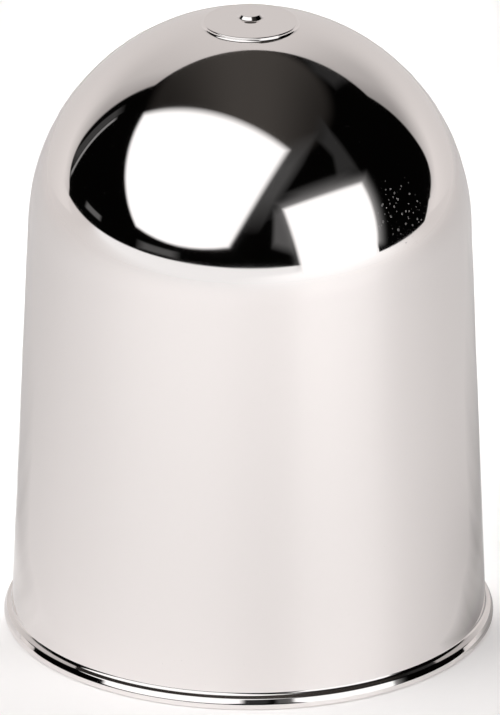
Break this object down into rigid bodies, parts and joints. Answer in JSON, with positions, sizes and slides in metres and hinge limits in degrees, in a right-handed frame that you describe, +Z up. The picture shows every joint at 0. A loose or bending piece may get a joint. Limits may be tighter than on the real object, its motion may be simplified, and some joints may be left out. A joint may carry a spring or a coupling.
{
  "type": "tow ball cover",
  "caption": "Chrome-plated domed cap with a thin beaded mouth and a flat pad on its crown, pushed down over a tow bar's coupling ball to keep its grease off clothes.",
  "frame": {"origin": "middle of the open mouth, on the plane that the cover stands on", "axes": "+Z up along the cover's axis, from the mouth to the crown; +X passes through one of the grip ribs inside, and the gate's stub lies a little to the +Y side of the pad's middle"},
  "size_m": [0.0612, 0.0612, 0.0798],
  "materials": {
    "chrome_plating": "bright decorative chrome on moulded plastic, duller inside"
  },
  "bodies": {
    "root": {"cover": "chrome_plating"}
  },
  "joints": []
}
